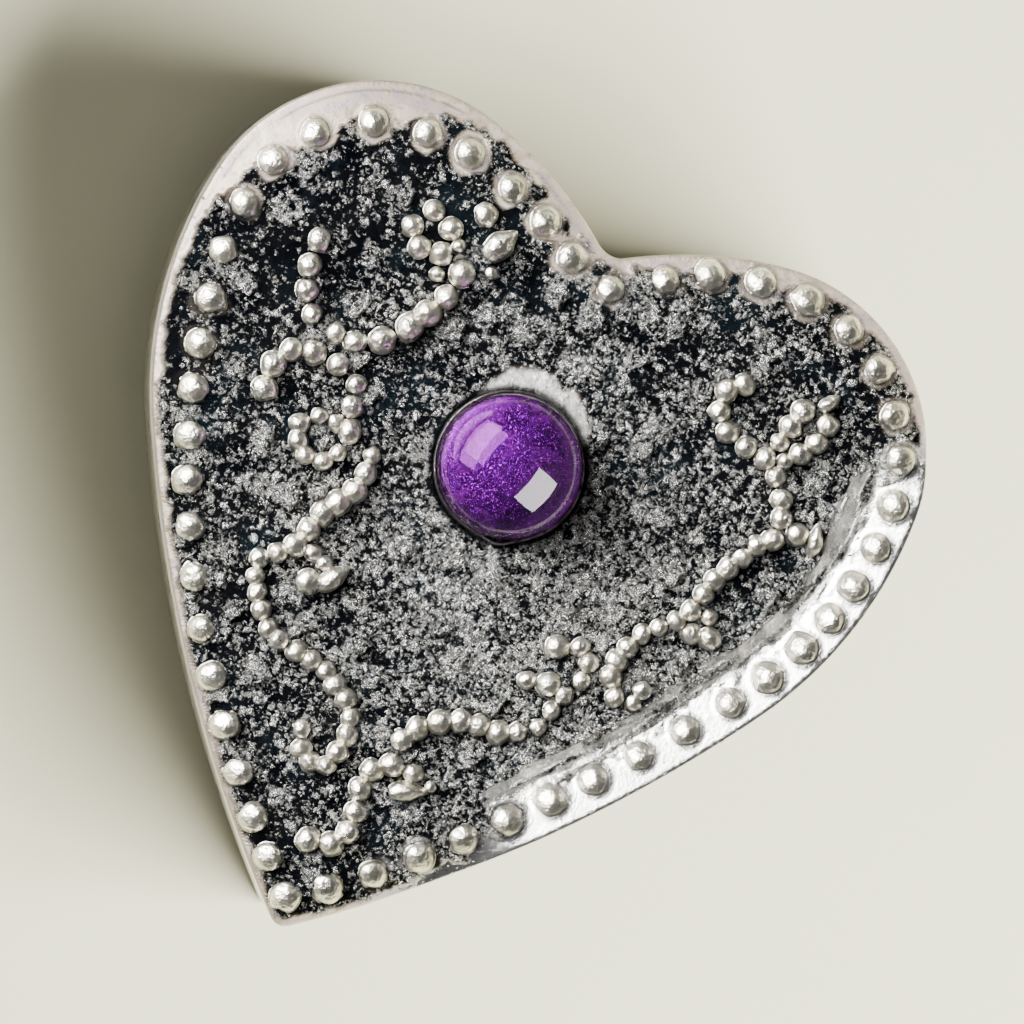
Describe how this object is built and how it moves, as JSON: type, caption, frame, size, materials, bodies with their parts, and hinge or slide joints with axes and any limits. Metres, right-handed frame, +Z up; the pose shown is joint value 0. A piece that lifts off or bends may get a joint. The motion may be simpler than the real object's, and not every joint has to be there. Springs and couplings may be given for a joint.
{
  "type": "heart-shaped trinket box",
  "caption": "Small heart-shaped trinket box: a lined base under a lift-off lid that carries a bead border, bead vines and a domed round stone in a bezel.",
  "frame": {"origin": "under the middle of the heart's outline, on the plane that the box stands on", "axes": "+Z up, +Y from the heart's tip to its cleft, +X to the right seen from above"},
  "size_m": [0.0536, 0.0559, 0.025],
  "materials": {
    "brushed_silver": "worn, lightly scuffed silver",
    "bright_silver": "tumbled, slightly warm silver",
    "oxidised_silver": "granular, dark oxidised silver with bright grain tips",
    "violet_glass": "polished, domed",
    "violet_foil": "crinkled metal foil",
    "velvet": "short pile",
    "lining_card": "plain card"
  },
  "bodies": {
    "base": {"base_floor_plate": "brushed_silver", "base_wall_left": "brushed_silver", "base_wall_right": "brushed_silver", "base_collar_left": "bright_silver", "base_collar_right": "bright_silver", "base_lining_card": "lining_card", "base_velvet_pad": "velvet", "base_velvet_wall_left": "velvet", "base_velvet_wall_right": "velvet"},
    "lid": {"lid_plate": "oxidised_silver", "lid_skirt_left": "brushed_silver", "lid_skirt_right": "brushed_silver", "lid_lining_card": "lining_card", "lid_velvet_pad": "velvet", "gem_bezel": "bright_silver", "gem_foil": "violet_foil", "gem_cabochon": "violet_glass", "border_beads_left": "bright_silver", "border_beads_right": "bright_silver", "vine_upper_left": "bright_silver", "vine_left_hook": "bright_silver", "vine_left_stem": "bright_silver", "vine_left_tail": "bright_silver", "vine_lower_stem": "bright_silver", "vine_lower_branch": "bright_silver", "vine_right_hook": "bright_silver", "vine_right_tail": "bright_silver", "leaf_upper_left_curl": "bright_silver", "leaf_upper_left": "bright_silver", "leaf_left_curl": "bright_silver", "leaf_left": "bright_silver", "leaf_lower_tip": "bright_silver", "leaf_lower_inner": "bright_silver", "leaf_right": "bright_silver", "leaf_right_bud": "bright_silver", "leaf_right_low": "bright_silver"}
  },
  "joints": [
    {"name": "lid_lift", "type": "slide", "parent": "base", "child": "lid", "axis": [0, 0, 1], "range_m": [0, 0.03]}
  ]
}
